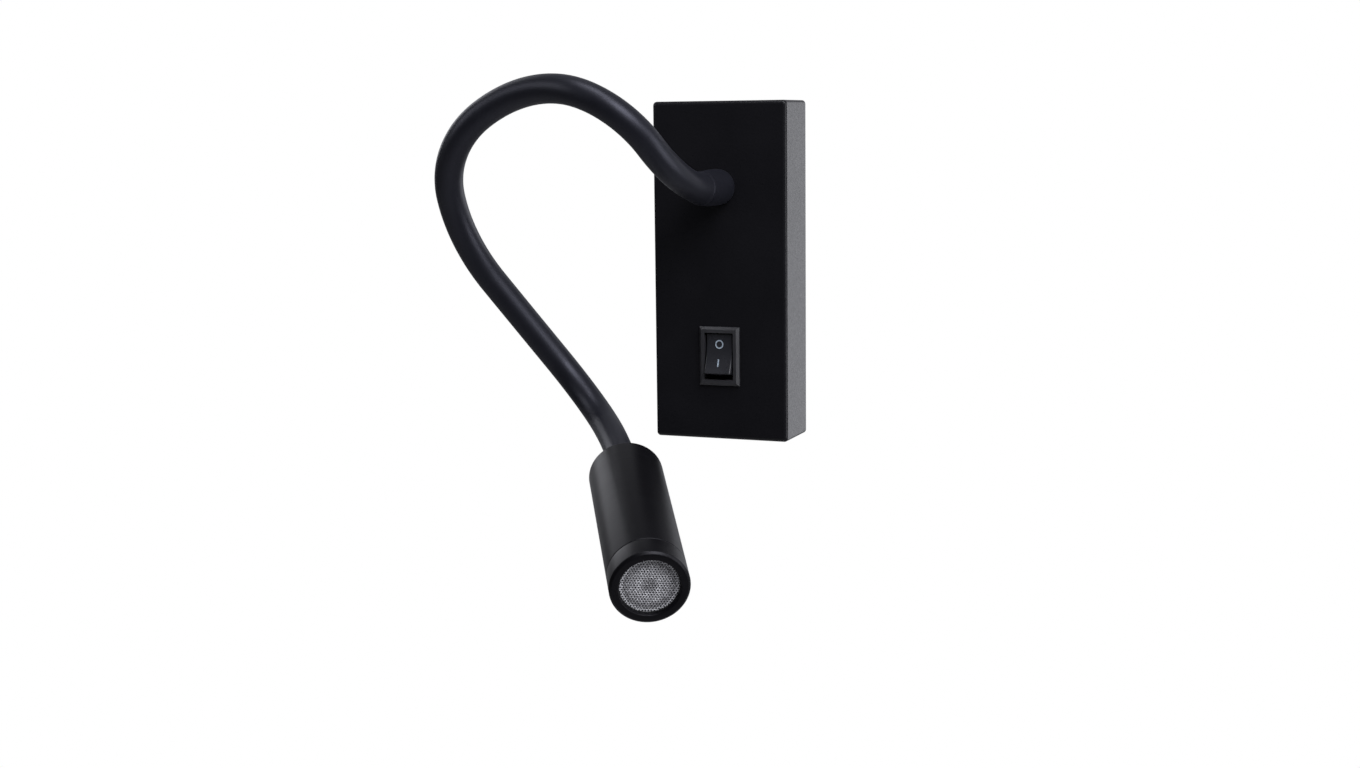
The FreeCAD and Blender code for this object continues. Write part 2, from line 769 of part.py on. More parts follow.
def base_ferrule():
    """Turned along local Z, which points into the room from the cover's front."""
    collar = ferrule_diameter / 2
    stud = ferrule_stud / 2
    socket = sleeve_diameter / 2 + socket_play
    bore = ferrule_bore / 2
    floor = neck_straight - ferrule_socket
    turned = turned_on_axis([
        (bore, -ferrule_stud_length), (stud, -ferrule_stud_length), (stud, 0), (collar, 0),
        (collar, neck_straight - ferrule_edge), (collar - ferrule_edge, neck_straight), (socket, neck_straight),
        (socket, floor), (bore, floor)])
    return placed(turned, Placement(neck_axis_point(front), Rotation(sideways, 90)))


def ferrule_washer():
    start = neck_axis_point(cover_inside)
    end = neck_axis_point(cover_inside + washer_thickness)
    washer = faceted(washer_diameter / 2, start, end, inner_sides)
    return washer.cut(rod(ferrule_stud / 2 + stud_play, start, end))


def ferrule_nut():
    nut = hexagon_nut(nut_across_flats, ferrule_stud + 2 * thread_play, nut_thickness)
    return placed(nut, Placement(neck_axis_point(cover_inside + washer_thickness), Rotation(sideways, -90)))


# ---------------------------------------------------------------- spot head, along local Z
def head_body():
    outside = head_diameter / 2
    stud_hole = head_stud / 2 + stud_play
    seat = sleeve_diameter / 2 + stud_play
    rear_bore = head_rear_bore / 2
    front_bore = head_front_bore / 2
    thread = ring_thread / 2 - ring_play
    return turned_on_axis([
        (seat, 0), (outside - head_rear_edge, 0), (outside, head_rear_edge), (outside, ring_seam),
        (thread, ring_seam), (thread, ring_seam + ring_thread_length), (front_bore, ring_seam + ring_thread_length),
        (front_bore, heat_sink_back), (rear_bore, heat_sink_back), (rear_bore, head_rear_wall),
        (stud_hole, head_rear_wall), (stud_hole, head_seat_depth), (seat, head_seat_depth)])


def head_ferrule():
    flange = sleeve_diameter / 2
    stud = head_stud / 2
    bore = head_stud_bore / 2
    return turned_on_axis([(bore, 0), (flange, 0), (flange, head_seat_depth), (stud, head_seat_depth),
                           (stud, head_stud_length), (bore, head_stud_length)])


def head_nut():
    nut = hexagon_nut(head_nut_across_flats, head_stud + 2 * thread_play, head_nut_thickness)
    return placed(nut, Placement(Vector(0, 0, head_rear_wall), Rotation()))


def heat_sink():
    outside = (head_front_bore - head_fit) / 2
    slug = faceted(outside, upward * heat_sink_back, upward * led_board_back, inner_sides)
    wire_way = faceted(head_stud_bore / 2, upward * heat_sink_back, upward * led_board_back)
    return slug.cut([wire_way] + board_screw_holes())


def board_screw_holes():
    start = led_board_top - board_screw_length
    return [faceted(board_screw / 2 + thread_play, Vector(s * board_screw_circle, 0, start - thread_play),
                    Vector(s * board_screw_circle, 0, led_board_top + 1)) for s in (-1, 1)]


def led_board():
    outside = (head_front_bore - head_fit) / 2
    disc = faceted(outside, upward * led_board_back, upward * led_board_top, inner_sides)
    return disc.cut(board_screw_holes())


def board_screws():
    screws = []
    for s in (-1, 1):
        seat = Vector(s * board_screw_circle, 0, led_board_top)
        shank = faceted(board_screw / 2, seat - Vector(0, 0, board_screw_length), seat)
        head = faceted(board_screw_head / 2, seat, seat + Vector(0, 0, board_screw_head_height))
        screws.append(shank.fuse(head))
    return screws


def led_package():
    half = led_board_side / 2
    base = block(-half, half, -half, half, led_board_top, led_board_top + led_base)
    dome = faceted(led_dome / 2, upward * (led_board_top + led_base),
                   upward * (led_board_top + led_base + led_dome_height))
    return base.fuse(dome)


def lens_holder():
    outside = (head_front_bore - head_fit) / 2
    start = upward * led_board_top
    end = upward * lens_seat
    return faceted(outside, start, end, inner_sides).cut(faceted(outside - holder_wall, start, end, inner_sides))


def lens():
    bottom = lens_top - lens_height
    recess = lens_recess_diameter / 2
    return turned_on_axis([
        (0, bottom + lens_recess_depth), (recess, bottom + lens_recess_depth), (recess, bottom),
        (lens_cone_bottom / 2, bottom), (lens_cone_top / 2, lens_seat), (lens_diameter / 2, lens_seat),
        (lens_diameter / 2, lens_top), (0, lens_top)])


def lens_gasket():
    start = upward * lens_top
    end = upward * (lens_top + gasket_thickness)
    return faceted(lens_diameter / 2, start, end, inner_sides).cut(
        faceted(window_diameter / 2, start, end, inner_sides))


def front_ring():
    outside = head_diameter / 2
    thread = ring_thread / 2
    window = window_diameter / 2
    lip = head_length - ring_lip
    return turned_on_axis([
        (thread, ring_seam), (outside, ring_seam), (outside, head_length - ring_edge),
        (outside - ring_edge, head_length), (window, head_length), (window, lip), (thread, lip)])


def head_frame():
    return neck_frames()[-1]


# ---------------------------------------------------------------- write every node
def main():
    save("housing_cover", housing_cover())
    save("cover_screws", *cover_screws())
    save("wall_plate", wall_plate())
    save("cable_grommet", cable_grommet())
    save("earth_tag", earth_tag())
    save("earth_screw", earth_screw())
    save("driver_case", driver_case())
    save("driver_lid", driver_lid())
    save("driver_board", driver_board())
    save("driver_transformer", driver_transformer())
    save("driver_capacitors", *driver_capacitors())
    save("driver_screws", *driver_screws())
    save("terminal_block", terminal_block())
    save("terminal_tubes", *terminal_tubes())
    save("terminal_screws", *terminal_screws())
    save("switch_body", switch_body())
    save("switch_terminals", *switch_terminals())
    save("rocker", rocker())
    save("switch_spring", switch_spring())
    save("switch_plunger", switch_plunger())
    save("contact_lever", contact_lever())
    save("base_ferrule", base_ferrule())
    save("ferrule_washer", ferrule_washer())
    save("ferrule_nut", ferrule_nut())
    for number, (sleeve, core) in enumerate(neck_pieces(), 1):
        save("neck_sleeve_%d" % number, sleeve)
        save("neck_core_%d" % number, core)
    head = {"head_ferrule": [head_ferrule()], "head_body": [head_body()], "head_nut": [head_nut()],
            "heat_sink": [heat_sink()], "led_board": [led_board()], "board_screws": board_screws(),
            "led_package": [led_package()], "lens_holder": [lens_holder()], "lens": [lens()],
            "lens_gasket": [lens_gasket()], "front_ring": [front_ring()]}
    for name, solids in head.items():
        save(name, *[placed(solid, head_frame()) for solid in solids])


main()
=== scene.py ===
import json
import math

import bmesh
import bpy
from mathutils import Matrix, Quaternion, Vector


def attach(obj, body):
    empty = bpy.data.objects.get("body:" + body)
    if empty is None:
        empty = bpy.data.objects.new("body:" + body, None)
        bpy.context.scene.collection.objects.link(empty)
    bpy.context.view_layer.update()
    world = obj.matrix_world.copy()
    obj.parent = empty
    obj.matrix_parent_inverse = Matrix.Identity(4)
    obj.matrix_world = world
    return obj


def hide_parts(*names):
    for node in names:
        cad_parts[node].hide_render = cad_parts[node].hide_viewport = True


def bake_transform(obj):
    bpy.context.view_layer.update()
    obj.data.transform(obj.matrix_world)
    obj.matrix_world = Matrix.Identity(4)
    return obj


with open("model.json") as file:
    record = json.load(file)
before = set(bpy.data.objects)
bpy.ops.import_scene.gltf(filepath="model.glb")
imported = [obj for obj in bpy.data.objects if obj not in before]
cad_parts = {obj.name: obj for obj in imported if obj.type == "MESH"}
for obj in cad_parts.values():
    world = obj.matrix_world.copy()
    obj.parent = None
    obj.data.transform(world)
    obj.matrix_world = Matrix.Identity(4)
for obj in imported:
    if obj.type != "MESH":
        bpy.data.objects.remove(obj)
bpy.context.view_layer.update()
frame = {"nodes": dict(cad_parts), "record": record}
MM = 0.001

# ------------------------------------------- sizes in millimetres, as in the part's source
BOX_HEIGHT, BOX_DEPTH = 120.0, 22.0

# Neck, measured along its middle line from the box's front
NECK_HEIGHT = 30.0          # from the box's middle up to the neck's hole
NECK_STRAIGHT = 14.0        # from the box's front to the first bend
NECK_PITCH = 36.0           # length of each bend
# Bend in degrees and the way it turns: 0 is sideways, 90 is up, carried along the neck
NECK_BENDS = ((58.5, 117), (69.5, 173.5), (45.5, -126.5), (57.5, 175),
              (37.5, -153.5), (6, -115), (63.5, -108.5), (10, -62.5))
NECK_LENGTH = NECK_STRAIGHT + len(NECK_BENDS) * NECK_PITCH
# Station and radius of the collar, and of the sleeve that is stretched over its end
COLLAR_PROFILE = ((0.0, 5.75), (0.35, 6.1), (0.9, 6.3), (1.6, 6.35), (6.0, 6.33), (10.0, 6.25),
                  (13.5, 6.08), (16.2, 5.84), (17.0, 5.76), (17.3, 5.86), (17.9, 5.86),
                  (18.3, 5.62), (20.0, 5.42), (23.0, 5.18), (26.0, 5.05), (30.0, 5.0))
SLEEVE_RADIUS = 5.0
SLEEVE_STEP = 0.9           # between the rings of the sleeve's mesh
BORE_STEP = 3.0             # and of its bore's
SLEEVE_SIDES = 48
LIP_INSET = 0.12            # the lip at a stretch's end, tucked under the next one
LIP_LENGTH = 1.2
CORE_RADIUS = 3.6
CORE_PLAY = 0.15            # between the core and the sleeve's bore
CORE_START = 5.0            # the core's end inside the collar
CORE_TURN = 1.6             # pitch of the wound wire
CORE_GROOVE = (0.0, 0.09, 0.28, 0.09)   # how deep it is at each quarter of a turn
CORE_SIDES = 20

# Spot head, heights measured from its rear face
HEAD_RADIUS, HEAD_LENGTH = 12.5, 73.5
RING_LENGTH = 8.5
SEAM = HEAD_LENGTH - RING_LENGTH
SEAM_HALF_GAP = 0.05
REAR_EDGE = 1.0             # chamfer round the rear face
REAR_WALL = 4.0
NECK_SEAT_RADIUS, NECK_SEAT_DEPTH = 5.15, 1.5
STUD_BORE_RADIUS = 4.15
REAR_BORE_RADIUS, REAR_BORE_END = 9.3, 10.0
MAIN_BORE_RADIUS = 10.4
SPIGOT_SHOULDER = 1.0       # from the outside to the spigot that the ring screws on
SPIGOT_RADIUS, SPIGOT_LENGTH = 11.3, 4.6
SPIGOT_PLAY = 0.1
RING_EDGE = 0.8             # chamfer round the front ring
WINDOW_RADIUS = 9.2
WINDOW_FLARE = 0.5
WINDOW_LIP = 1.3            # thickness of the ring in front of the lens
LENS_SEAT_RADIUS = 10.1
HOUSING_ROUND, RING_ROUND = 0.35, 0.22  # the most that a corner is rounded by

# Lens: its beads stand on a six-sided grid
LENS_GAP = 0.4              # gasket between the ring's lip and the lens
LENS_TOP = HEAD_LENGTH - WINDOW_LIP - LENS_GAP
BEAD_PITCH, BEAD_HEIGHT = 0.92, 0.17
BEAD_RINGS, BEAD_RING_STEP = 78, 0.12   # rings of the beaded front's mesh
LENS_SIDES = 220
# Radius and depth behind the front: rim, flange, tapered side, rear end, hollow over the LED
LENS_PROFILE = ((9.6, 0.0), (9.9, 0.1), (10.0, 0.4), (10.0, 1.5), (8.8, 1.5), (8.4, 3.1),
                (7.6, 5.1), (6.4, 7.5), (4.5, 11.0), (2.6, 11.0), (2.45, 9.8), (2.2, 8.0),
                (1.2, 7.6))
LENS_HOLLOW_DEPTH = 7.9

# Rocker: its pivot is its origin, with -Y towards the room
ROCKER_PIVOT = (0.0, -19.0, -30.0)
ROCKER_TILT = -12.0         # degrees, as it rests
ROCKER_HALF_WIDTH, ROCKER_HALF_HEIGHT = 4.85, 7.2
ROCKER_CROWN = 5.2          # pivot to the ends of the face
ROCKER_DISH = 1.0           # how much lower the face is in its middle
ROCKER_FACE_STEPS = 12      # each side of the middle
ROCKER_SKIRT = 0.8          # pivot to the end corners
ROCKER_FLARE = 0.25         # how far they stand out past the face
ROCKER_HUB, ROCKER_HUB_HALF = 1.5, 4.6  # flat underside: behind the pivot, and half its height
ROCKER_EDGE = 0.3
BEZEL_EDGE = 0.12

# Printed marks on the rocker: a ring above and a bar below
MARK_LIFT, MARK_ROOT = 0.03, 0.1        # in front of the face and sunk into it
RING_MARK_MIDDLE = 3.4
RING_MARK_INSIDE, RING_MARK_OUTSIDE = 1.12, 1.55
RING_MARK_SIDES = 40
BAR_MARK_BOTTOM, BAR_MARK_HALF_WIDTH = -4.6, 0.24
BAR_MARK_STEPS, BAR_MARK_STEP = 9, 0.3

# Cover screws: countersunk, with a cross recess
SCREW_INSET = 6.5           # from the wall to the screw's axis
SCREW_RADIUS, SCREW_LENGTH, SCREW_SIDES = 1.5, 6.0, 48
SCREW_HEAD_RADIUS, SCREW_HEAD_HEIGHT = 2.8, 1.15
SCREW_HEAD_LAND = 0.12      # height of the head's rim
SCREW_HEAD_EDGE = 0.1       # chamfer at its top
SCREW_SINK = 0.02           # how far it lies below the cover
SCREW_TIP = 0.01            # radius of the small flats that close the mesh on its axis
CROSS_DEPTH, CROSS_RISE = 0.75, 0.3     # the cutter below and above the head's top
CROSS_ARM, CROSS_WIDTH = 1.5, 0.42      # half the length, and the whole width
CROSS_TAPER = 0.62          # length of its floor as a share
# Name, end of the box, and how far the cross is turned in degrees
COVER_SCREWS = (("cover_screw_top", 1, 22.0), ("cover_screw_bottom", -1, -35.0))


# ------------------------------------------- the neck's middle line, and where it puts the head
def along(place, turn, bend, way, share):
    """The frame at this share of a bend that starts in the frame (place, turn)."""
    radius = NECK_PITCH / math.radians(bend)
    angle = math.radians(bend * share)
    side = Vector((math.cos(math.radians(way)), math.sin(math.radians(way)), 0.0))
    step = Vector((0, 0, 1)) * (radius * math.sin(angle)) + side * (radius * (1 - math.cos(angle)))
    axis = Vector((0, 0, 1)).cross(side)
    return place + turn @ step, turn @ Quaternion(axis, angle)


def neck_stations():
    """Frame (place, turn) at the start of each bend, and at the head."""
    place = Vector((0.0, -BOX_DEPTH - NECK_STRAIGHT, NECK_HEIGHT))
    turn = Quaternion((1.0, 0.0, 0.0), math.radians(90))
    stations = [(place, turn)]
    for bend, way in NECK_BENDS:
        place, turn = along(place, turn, bend, way, 1.0)
        stations.append((place, turn))
    return stations


STATIONS = neck_stations()


def neck_at(s):
    """Frame of the neck's middle line this far from the box's front."""
    if s <= NECK_STRAIGHT:
        place, turn = STATIONS[0]
        return place + turn @ Vector((0, 0, s - NECK_STRAIGHT)), turn
    reach = s - NECK_STRAIGHT
    index = min(int(reach / NECK_PITCH), len(NECK_BENDS) - 1)
    place, turn = STATIONS[index]
    bend, way = NECK_BENDS[index]
    return along(place, turn, bend, way, reach / NECK_PITCH - index)


HEAD_PLACE, HEAD_TURN = STATIONS[-1]
HEAD_MATRIX = Matrix.Translation(HEAD_PLACE * MM) @ HEAD_TURN.to_matrix().to_4x4()
ROCKER_MATRIX = (Matrix.Translation(Vector(ROCKER_PIVOT) * MM)
                 @ Matrix.Rotation(math.radians(ROCKER_TILT), 4, "X"))


# ------------------------------------------- shader helpers
class NodeTree:
    """A node tree being built, with short calls for the nodes used here."""

    def __init__(self, tree):
        self.tree = tree
        self.tree.nodes.clear()

    def node(self, kind, **settings):
        made = self.tree.nodes.new(kind)
        for key, value in settings.items():
            setattr(made, key, value)
        return made

    def link(self, a, b):
        self.tree.links.new(a, b)

    def ramp(self, value, low, high, out_low=0.0, out_high=1.0, **settings):
        """The value from low to high, spread from out_low to out_high."""
        made = self.node("ShaderNodeMapRange", **settings)
        made.inputs["From Min"].default_value = low
        made.inputs["From Max"].default_value = high
        made.inputs["To Min"].default_value = out_low
        made.inputs["To Max"].default_value = out_high
        self.link(value, made.inputs["Value"])
        return made.outputs["Result"]

    def math(self, operation, a, b=0.0):
        made = self.node("ShaderNodeMath", operation=operation)
        for socket, value in zip(made.inputs, (a, b)):
            if isinstance(value, (int, float)):
                socket.default_value = value
            else:
                self.link(value, socket)
        return made.outputs[0]

    def mix(self, factor, a, b):
        """Colour a where the factor is 0, and b where it is 1."""
        made = self.node("ShaderNodeMix", data_type="RGBA")
        self.link(factor, made.inputs["Factor"])
        for socket, value in ((made.inputs["A"], a), (made.inputs["B"], b)):
            if isinstance(value, tuple):
                socket.default_value = (*value, 1.0)
            else:
                self.link(value, socket)
        return made.outputs["Result"]

    def split(self, vector):
        """X, Y and Z of a vector."""
        made = self.node("ShaderNodeSeparateXYZ")
        self.link(vector, made.inputs[0])
        return made.outputs[:3]


class Paint(NodeTree):
    """A material with one glossy shader, read in the object's own axes."""

    def __init__(self, name):
        self.material = bpy.data.materials.new(name)
        self.material.use_nodes = True
        super().__init__(self.material.node_tree)
        self.out = self.node("ShaderNodeOutputMaterial")
        self.shader = self.node("ShaderNodeBsdfPrincipled")
        self.link(self.shader.outputs["BSDF"], self.out.inputs["Surface"])
        self.coords = self.node("ShaderNodeTexCoord").outputs["Object"]

    def in_head(self):
        """Read every texture in the head's own axes, Z along the head."""
        mapping = self.node("ShaderNodeMapping", vector_type="TEXTURE")
        mapping.inputs["Location"].default_value = HEAD_PLACE * MM
        mapping.inputs["Rotation"].default_value = HEAD_TURN.to_euler("XYZ")
        self.link(self.coords, mapping.inputs["Vector"])
        self.coords = mapping.outputs["Vector"]

    def scaled(self, scale):
        mapping = self.node("ShaderNodeMapping")
        mapping.inputs["Scale"].default_value = scale
        self.link(self.coords, mapping.inputs["Vector"])
        return mapping.outputs["Vector"]

    def noise(self, scale, detail=3.0, roughness=0.55, stretch=None):
        """Cloudy noise of this many cells to the metre, times the stretch along each axis."""
        made = self.node("ShaderNodeTexNoise")
        made.inputs["Scale"].default_value = scale
        made.inputs["Detail"].default_value = detail
        made.inputs["Roughness"].default_value = roughness
        self.link(self.scaled(stretch) if stretch else self.coords, made.inputs["Vector"])
        return made.outputs["Fac"]

    def voronoi(self, scale, feature="F1"):
        made = self.node("ShaderNodeTexVoronoi", feature=feature)
        made.inputs["Scale"].default_value = scale
        self.link(self.coords, made.inputs["Vector"])
        return made.outputs["Distance"]

    def six_sided(self, x, y, pitch):
        """0 at the middle of each cell of a six-sided grid, about 1 at the cells' corners."""
        to_positive = 100.5     # whole cells, and half a cell for the fraction's middle
        found = []
        for shift in (0.0, 0.5):
            squares = []
            for value, step in ((x, pitch), (y, pitch * math.sqrt(3))):
                cell = self.math("MULTIPLY", value, 1 / step)
                share = self.math("FRACT", self.math("ADD", cell, shift + to_positive))
                offset = self.math("SUBTRACT", share, 0.5)
                length = self.math("MULTIPLY", offset, step * math.sqrt(3) / pitch)
                squares.append(self.math("MULTIPLY", length, length))
            found.append(self.math("ADD", *squares))
        return self.math("MINIMUM", *found)

    def color(self, value):
        self.link(value, self.shader.inputs["Base Color"])

    def tint(self, value, dark, light, low=0.35, high=0.7):
        """Base colour from dark to light as the value goes from low to high."""
        self.color(self.mix(self.ramp(value, low, high), dark, light))

    def rough(self, value, low, high):
        """Roughness from low to high over the middle of the value's range."""
        self.link(self.ramp(value, 0.3, 0.7, low, high), self.shader.inputs["Roughness"])

    def bump(self, height, strength, depth, before=None):
        """Relief of this depth in millimetres, on top of the one before it."""
        made = self.node("ShaderNodeBump")
        made.inputs["Strength"].default_value = strength
        made.inputs["Distance"].default_value = depth * MM
        self.link(height, made.inputs["Height"])
        if before is not None:
            self.link(before, made.inputs["Normal"])
        self.link(made.outputs["Normal"], self.shader.inputs["Normal"])
        return made.outputs["Normal"]

    def set(self, **values):
        """Set the shader's own sockets, with _ for each space in their names."""
        for key, value in values.items():
            self.shader.inputs[key.replace("_", " ")].default_value = value


# ------------------------------------------- materials
def powder_coat():
    """Baked powder: dimpled, with a fine grain on top."""
    p = Paint("powder_coat_black")
    fine = p.noise(1500.0, detail=2.0, roughness=0.5)
    p.tint(p.noise(45.0), (0.0062, 0.0061, 0.0076), (0.0080, 0.0078, 0.0096))
    p.rough(fine, 0.27, 0.36)
    dimples = p.bump(p.voronoi(1100.0, "SMOOTH_F1"), 0.30, 0.10)
    p.bump(fine, 0.22, 0.05, dimples)
    p.set(IOR=1.29)
    return p.material


def silicone():
    """Matt and faintly blue."""
    p = Paint("silicone_black")
    cloud = p.noise(70.0)
    p.tint(cloud, (0.0058, 0.0060, 0.0088), (0.0082, 0.0085, 0.0118))
    p.rough(cloud, 0.40, 0.45)
    p.bump(p.noise(1300.0, detail=2.0, roughness=0.5), 0.05, 0.02)
    p.set(IOR=1.42, Specular_Tint=(0.83, 0.84, 1.0, 1.0),
          Sheen_Weight=0.02, Sheen_Roughness=0.4, Sheen_Tint=(0.55, 0.6, 0.8, 1.0))
    return p.material


def anodised():
    """Turned before it was anodised: fine rings run round the head."""
    p = Paint("anodised_black")
    p.in_head()
    rings = p.noise(1.0, 3.0, 0.6, stretch=(40.0, 40.0, 5200.0))
    coarse = p.noise(1.0, 2.0, 0.5, stretch=(25.0, 25.0, 1500.0))
    p.tint(rings, (0.0016, 0.0015, 0.0020), (0.0030, 0.0029, 0.0038), 0.3, 0.7)
    p.rough(rings, 0.34, 0.44)
    fine = p.bump(rings, 0.20, 0.01)
    p.bump(coarse, 0.08, 0.01, fine)
    p.set(IOR=1.265, Specular_Tint=(0.93, 0.92, 1.0, 1.0))
    return p.material


def bare_aluminium():
    p = Paint("turned_aluminium")
    p.in_head()
    rings = p.noise(1.0, 3.0, 0.6, stretch=(60.0, 60.0, 4200.0))
    p.tint(rings, (0.56, 0.57, 0.59), (0.72, 0.73, 0.75), 0.3, 0.7)
    p.rough(rings, 0.24, 0.40)
    p.bump(rings, 0.2, 0.02)
    p.set(Metallic=1.0)
    return p.material


def zinc_plate():
    """Rolled sheet with a soft spangle."""
    p = Paint("zinc_plated_sheet")
    grain = p.noise(300.0, 3.0, 0.6, stretch=(1.0, 1.0, 9.0))
    spangle = p.voronoi(160.0)
    tone = p.math("ADD", p.math("MULTIPLY", spangle, 0.5), p.math("MULTIPLY", grain, 0.5))
    p.tint(tone, (0.50, 0.51, 0.53), (0.66, 0.67, 0.68), 0.2, 0.75)
    p.rough(grain, 0.30, 0.44)
    p.bump(grain, 0.12, 0.04)
    p.set(Metallic=1.0)
    return p.material


def rubber():
    p = Paint("rubber_black")
    dust = p.noise(120.0)
    p.tint(dust, (0.008, 0.008, 0.008), (0.018, 0.018, 0.018), 0.4, 0.75)
    p.rough(dust, 0.62, 0.78)
    p.bump(p.noise(1800.0, detail=3.0, roughness=0.6), 0.2, 0.04)
    return p.material


def circuit_board():
    """Lacquered board with darker lines between its copper fields."""
    p = Paint("board_green")
    fields = p.voronoi(420.0, "DISTANCE_TO_EDGE")
    p.tint(fields, (0.02, 0.14, 0.05), (0.012, 0.075, 0.03), 0.05, 0.09)
    p.rough(p.noise(300.0), 0.28, 0.4)
    p.bump(fields, 0.15, 0.05)
    return p.material


def lens_material():
    """Clear, with beads on its front that are dark in the middle and frosted where they meet.

    The reflection of a mirrored side behind it is painted as a brighter ring with sparse painted
    sparkles, and a painted highlight makes the outer edge bright.
    """
    p = Paint("lens_clear")
    p.in_head()
    x, y, z = p.split(p.coords)
    front = p.ramp(z, (LENS_TOP - 0.5) * MM, (LENS_TOP - 0.3) * MM)
    cells = p.six_sided(x, y, BEAD_PITCH * MM)
    dots = p.math("MULTIPLY", p.ramp(cells, 0.12, 0.50, 1.0, 0.0), front)
    squares = p.math("ADD", p.math("MULTIPLY", x, x), p.math("MULTIPLY", y, y))
    radius = p.math("SQRT", squares)
    # Painted reflection: a brighter ring, fixed on the lens, where the mirrored cone behind it
    # would show.
    painted_cone_reflection = p.math("MULTIPLY", p.ramp(radius, 1.4 * MM, 3.0 * MM),
                  p.ramp(radius, 4.2 * MM, 7.5 * MM, 1.0, 0.0))
    # Painted highlight: a bright band at the lens's outer edge, as if its chamfer caught the
    # light.
    painted_rim_highlight = p.ramp(radius, 8.0 * MM, 8.4 * MM, 0.0, 0.75)
    # Painted highlights: sparse bright sparkles from noise, strongest over the painted reflection
    # ring.
    painted_glints = p.math("MULTIPLY", p.ramp(p.noise(1150.0, detail=0.0), 0.52, 0.70),
                    p.ramp(painted_cone_reflection, 0.0, 1.0, 0.25, 0.9))
    # Frosting between the beads, lightened over the painted reflection ring.
    frost_and_painted_reflection = p.mix(painted_cone_reflection, (0.34, 0.335, 0.35), (0.66, 0.655, 0.68))
    # Bead colour, whitened by the painted sparkles and the painted edge highlight.
    beads_and_painted_highlights = p.mix(p.math("MAXIMUM", painted_glints, painted_rim_highlight), frost_and_painted_reflection, (0.95, 0.95, 0.98))
    clear = p.mix(front, (0.92, 0.92, 0.94), beads_and_painted_highlights)
    p.color(p.mix(dots, clear, (0.030, 0.030, 0.034)))
    p.rough(p.noise(260.0, detail=2.0), 0.01, 0.04)
    p.bump(p.ramp(cells, 0.0, 1.0, 1.0, 0.0), 0.6, 0.12)
    p.set(IOR=1.49)
    p.link(p.ramp(front, 0.0, 1.0, 1.0, 0.25), p.shader.inputs["Transmission Weight"])
    return p.material


def phosphor():
    p = Paint("led_phosphor")
    grain = p.noise(2500.0, detail=2.0)
    p.tint(grain, (0.75, 0.52, 0.09), (0.85, 0.66, 0.16), 0.3, 0.7)
    p.rough(grain, 0.3, 0.45)
    p.bump(grain, 0.1, 0.03)
    return p.material


def print_ink():
    """Pale ink, thinner where it is worn."""
    p = Paint("printed_mark")
    wear = p.noise(2400.0)
    p.tint(wear, (0.21, 0.27, 0.33), (0.40, 0.47, 0.54), 0.25, 0.6)
    p.rough(wear, 0.4, 0.55)
    p.bump(wear, 0.1, 0.02)
    return p.material


def metal(name, dark, light, low, high):
    """Finely grained metal with a slow change of tone."""
    p = Paint(name)
    grain = p.noise(900.0, detail=3.0, roughness=0.6)
    p.tint(p.noise(75.0, detail=2.0), dark, light, 0.35, 0.68)
    p.rough(grain, low, high)
    p.bump(grain, 0.15, 0.03)
    p.set(Metallic=1.0)
    return p.material


def plastic(name, dark, light, low, high, grain=0.15):
    """Moulded plastic, with the strength of its spark-eroded grain."""
    p = Paint(name)
    cloud = p.noise(90.0)
    p.tint(cloud, dark, light)
    p.rough(cloud, low, high)
    p.bump(p.noise(1600.0, detail=2.0, roughness=0.5), grain, 0.03)
    p.set(IOR=1.5)
    return p.material


# Slot: the material's name, dark and light colour, lowest and highest roughness, and for a
# plastic other than usual the strength of its grain
METALS = {
    "black_screw": ("blackened_steel", (0.02, 0.02, 0.022), (0.035, 0.035, 0.038), 0.35, 0.5),
    "zinc_screw": ("zinc_screw", (0.52, 0.53, 0.54), (0.68, 0.69, 0.70), 0.25, 0.38),
    "tin_plate": ("tinned_tab", (0.60, 0.60, 0.58), (0.74, 0.74, 0.72), 0.28, 0.42),
    "spring_steel": ("spring_steel", (0.35, 0.35, 0.36), (0.5, 0.5, 0.51), 0.2, 0.35),
    "brass": ("turned_brass", (0.56, 0.38, 0.13), (0.72, 0.53, 0.22), 0.2, 0.36),
    "neck_core": ("wound_steel", (0.30, 0.30, 0.31), (0.44, 0.44, 0.45), 0.25, 0.42),
    "ferrite": ("ferrite", (0.03, 0.03, 0.032), (0.06, 0.06, 0.06), 0.5, 0.7),
}
PLASTICS = {
    "driver_plastic": ("driver_plastic", (0.62, 0.62, 0.60), (0.72, 0.72, 0.70), 0.4, 0.55),
    "capacitor_sleeve": ("capacitor_sleeve", (0.012, 0.016, 0.035), (0.02, 0.024, 0.05), 0.2, 0.3),
    "terminal_plastic": ("terminal_plastic", (0.68, 0.68, 0.66), (0.80, 0.80, 0.78), 0.35, 0.5),
    "switch_plastic": ("switch_plastic", (0.0270, 0.0270, 0.0300), (0.0340, 0.0340, 0.0375),
                       0.30, 0.42, 0.08),
    "rocker_plastic": ("rocker_plastic", (0.0175, 0.0180, 0.0215), (0.0220, 0.0225, 0.0265),
                       0.22, 0.32, 0.05),
    "led_board": ("board_white", (0.74, 0.74, 0.72), (0.84, 0.84, 0.82), 0.3, 0.45),
    "holder_plastic": ("holder_grey", (0.30, 0.31, 0.33), (0.40, 0.41, 0.43), 0.25, 0.36),
}
MATERIALS = {
    "powder_coat": powder_coat(),
    "zinc_plate": zinc_plate(),
    "black_rubber": rubber(),
    "neck_black": silicone(),
    "circuit_board": circuit_board(),
    "anodised_black": anodised(),
    "bare_aluminium": bare_aluminium(),
    "led_phosphor": phosphor(),
    "lens_clear": lens_material(),
}
MATERIALS.update((slot, metal(*look)) for slot, look in METALS.items())
MATERIALS.update((slot, plastic(*look)) for slot, look in PLASTICS.items())
MATERIALS["neck_sleeve"] = MATERIALS["neck_black"]
INK = print_ink()


# ------------------------------------------- mesh helpers
def add_object(name, data):
    made = bpy.data.objects.new(name, data)
    bpy.context.scene.collection.objects.link(made)
    return made


